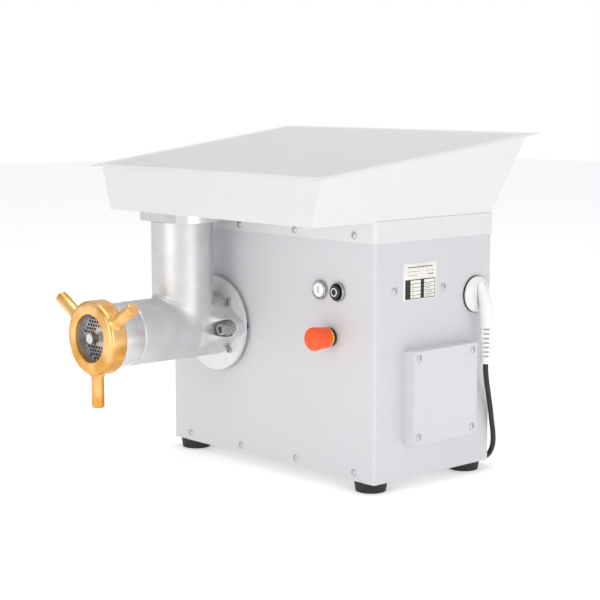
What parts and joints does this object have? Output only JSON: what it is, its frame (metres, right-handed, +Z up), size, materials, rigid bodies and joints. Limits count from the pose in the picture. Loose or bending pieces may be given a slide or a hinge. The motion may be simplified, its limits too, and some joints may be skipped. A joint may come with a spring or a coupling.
{
  "type": "electric meat grinder",
  "caption": "Bench meat grinder: sheet-steel cabinet with a flared meat tray, side-mounted aluminium grinding head with brass ring nut, push buttons and a mains lead.",
  "frame": {"origin": "middle of the footprint at the underside of the feet, the middle of the bounding box without the mains lead and plug", "axes": "+Z up, the grinding head points to -Y, the terminal cover and the plug are on +X"},
  "size_m": [0.5472, 0.614, 0.5061],
  "materials": {
    "sheet": "satin stainless sheet, fine grain",
    "tray": "satin stainless sheet, bright",
    "base": "plain stainless sheet",
    "rubber": "matt black rubber",
    "zinc": "plated steel",
    "screw": "polished stainless screws",
    "dark_screw": "dark steel socket screws",
    "label": "printed plate, cream and black",
    "cast": "satin cast and machined aluminium",
    "polished": "turned and polished aluminium",
    "bronze": "plain bronze",
    "plate_steel": "ground tool steel",
    "brass": "satin golden brass",
    "auger_iron": "tinned cast iron",
    "stud_steel": "turned steel",
    "wheel_bronze": "machined bronze",
    "shaft_steel": "ground steel",
    "housing_iron": "painted cast housing",
    "core_steel": "laminated steel",
    "copper": "laminated core with copper windings",
    "nylon": "moulded plastic",
    "white_plastic": "smooth white plastic",
    "chrome": "polished chrome",
    "cap_white": "glossy white plastic",
    "cap_black": "glossy black plastic",
    "block": "moulded plastic",
    "black_plastic": "matt black plastic",
    "yellow": "yellow plastic",
    "red": "satin red-orange plastic",
    "cord": "black rubber sheath"
  },
  "bodies": {
    "cabinet": {"base_plate": "base", "cabinet_shell": "sheet", "rear_panel": "sheet", "meat_tray": "tray", "rubber_feet": "rubber", "foot_bolts": "zinc", "panel_screws": "screw", "terminal_cover": "sheet", "cover_screws": "screw", "side_screws": "screw", "rating_plate": "label", "grinder_barrel": "cast", "throat_flange": "polished", "mounting_flange": "polished", "flange_screws": "dark_screw", "head_bolts": "dark_screw", "rear_bush": "bronze", "plate_pin": "stud_steel", "grinding_plate": "plate_steel", "gearbox_adapter": "housing_iron", "gearbox_housing": "housing_iron", "gearbox_cover": "housing_iron", "output_bearings": "shaft_steel", "shaft_seal": "nylon", "worm_bearings": "shaft_steel", "motor_bearings": "shaft_steel", "motor_frame": "housing_iron", "stator_core": "copper", "fan_cowl": "nylon", "drive_stand": "base", "run_capacitor": "white_plastic", "contactor": "nylon", "button_bezels": "chrome", "contact_blocks": "block", "estop_base": "black_plastic", "estop_ring": "yellow", "parking_socket": "black_plastic", "mains_plug": "white_plastic", "strain_relief": "white_plastic", "cord_gland": "black_plastic", "cord_lead": "cord", "cord_coil": "cord", "cord_tail": "cord"},
    "drive": {"auger": "auger_iron", "auger_stud": "stud_steel", "knife": "plate_steel", "output_shaft": "shaft_steel", "worm_wheel": "wheel_bronze", "shaft_key": "shaft_steel"},
    "rotor": {"worm": "shaft_steel", "motor_shaft": "shaft_steel", "rotor_core": "core_steel", "cooling_fan": "nylon"},
    "thrust_ring": {"thrust_ring": "plate_steel"},
    "ring": {"ring_nut": "brass", "ring_bars": "brass"},
    "start_button": {"start_cap": "cap_white"},
    "stop_button": {"stop_cap": "cap_black"},
    "estop_plunger": {"estop_stem": "black_plastic"},
    "estop_knob": {"estop_head": "red"}
  },
  "joints": [
    {"name": "auger_spin", "type": "hinge", "parent": "cabinet", "child": "drive", "pos_m": [-0.1115, 0, 0.213], "axis": [0, 1, 0], "continuous": true},
    {"name": "motor_spin", "type": "hinge", "parent": "cabinet", "child": "rotor", "pos_m": [0, 0.101, 0.133], "axis": [1, 0, 0], "continuous": true},
    {"name": "ring_travel", "type": "slide", "parent": "cabinet", "child": "thrust_ring", "axis": [0, -1, 0], "range_m": [0, 0.0131]},
    {"name": "ring_turn", "type": "hinge", "parent": "thrust_ring", "child": "ring", "pos_m": [-0.1115, 0, 0.213], "axis": [0, -1, 0], "range_deg": [0, 1170]},
    {"name": "start_press", "type": "slide", "parent": "cabinet", "child": "start_button", "axis": [0, 1, 0], "range_m": [0, 0.0025], "stiffness_N_per_m": 600, "springref_m": -0.004},
    {"name": "stop_press", "type": "slide", "parent": "cabinet", "child": "stop_button", "axis": [0, 1, 0], "range_m": [0, 0.0025], "stiffness_N_per_m": 600, "springref_m": -0.004},
    {"name": "estop_press", "type": "slide", "parent": "cabinet", "child": "estop_plunger", "axis": [0, 1, 0], "range_m": [0, 0.005], "stiffness_N_per_m": 800, "springref_m": -0.004},
    {"name": "estop_twist", "type": "hinge", "parent": "estop_plunger", "child": "estop_knob", "pos_m": [0.136, 0, 0.218], "axis": [0, -1, 0], "range_deg": [0, 45], "stiffness_Nm_per_rad": 0.05}
  ],
  "couplings": [
    {"joint": "motor_spin", "follows": "auger_spin", "ratio": 10},
    {"joint": "ring_travel", "follows": "ring_turn", "m_per_rad": 0.00063662}
  ]
}
